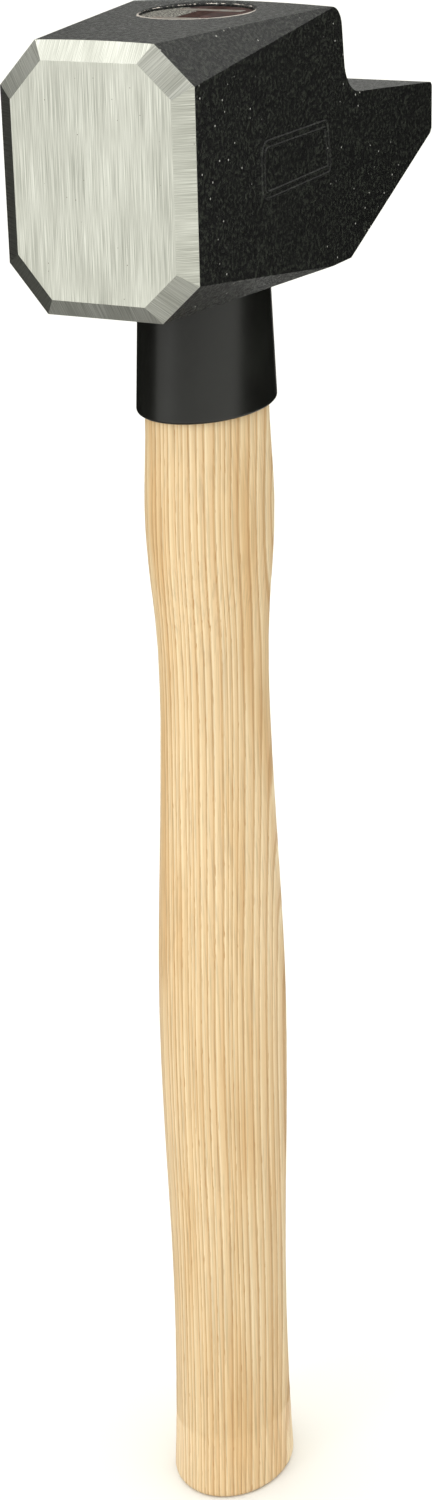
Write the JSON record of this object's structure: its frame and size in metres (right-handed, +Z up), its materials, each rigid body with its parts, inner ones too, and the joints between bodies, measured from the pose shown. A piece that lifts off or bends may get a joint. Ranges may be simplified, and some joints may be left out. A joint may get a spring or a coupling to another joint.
{
  "type": "splitting maul",
  "caption": "Short-handled striking and splitting tool: forged steel head with bevelled octagonal poll and stepped wedge end, on a wedged ash handle with plastic neck sleeve.",
  "frame": {"origin": "centre of the handle's flat butt", "axes": "+Z up the handle to the head, -X out of the striking poll, +X to the wedge end, XZ is the middle plane"},
  "size_m": [0.1305, 0.056, 0.4054],
  "materials": {
    "black_enamel_steel": "satin black enamel over forged scale, poll ground bright",
    "ash_wood": "sanded and oiled",
    "black_plastic": "satin moulded",
    "beech_wood": "sawn end grain, stained dark",
    "wedge_steel": "plain rolled"
  },
  "bodies": {
    "root": {"head": "black_enamel_steel", "handle": "ash_wood", "protective_sleeve": "black_plastic", "wooden_wedge": "beech_wood", "steel_wedge_front": "wedge_steel", "steel_wedge_rear": "wedge_steel"}
  },
  "joints": []
}
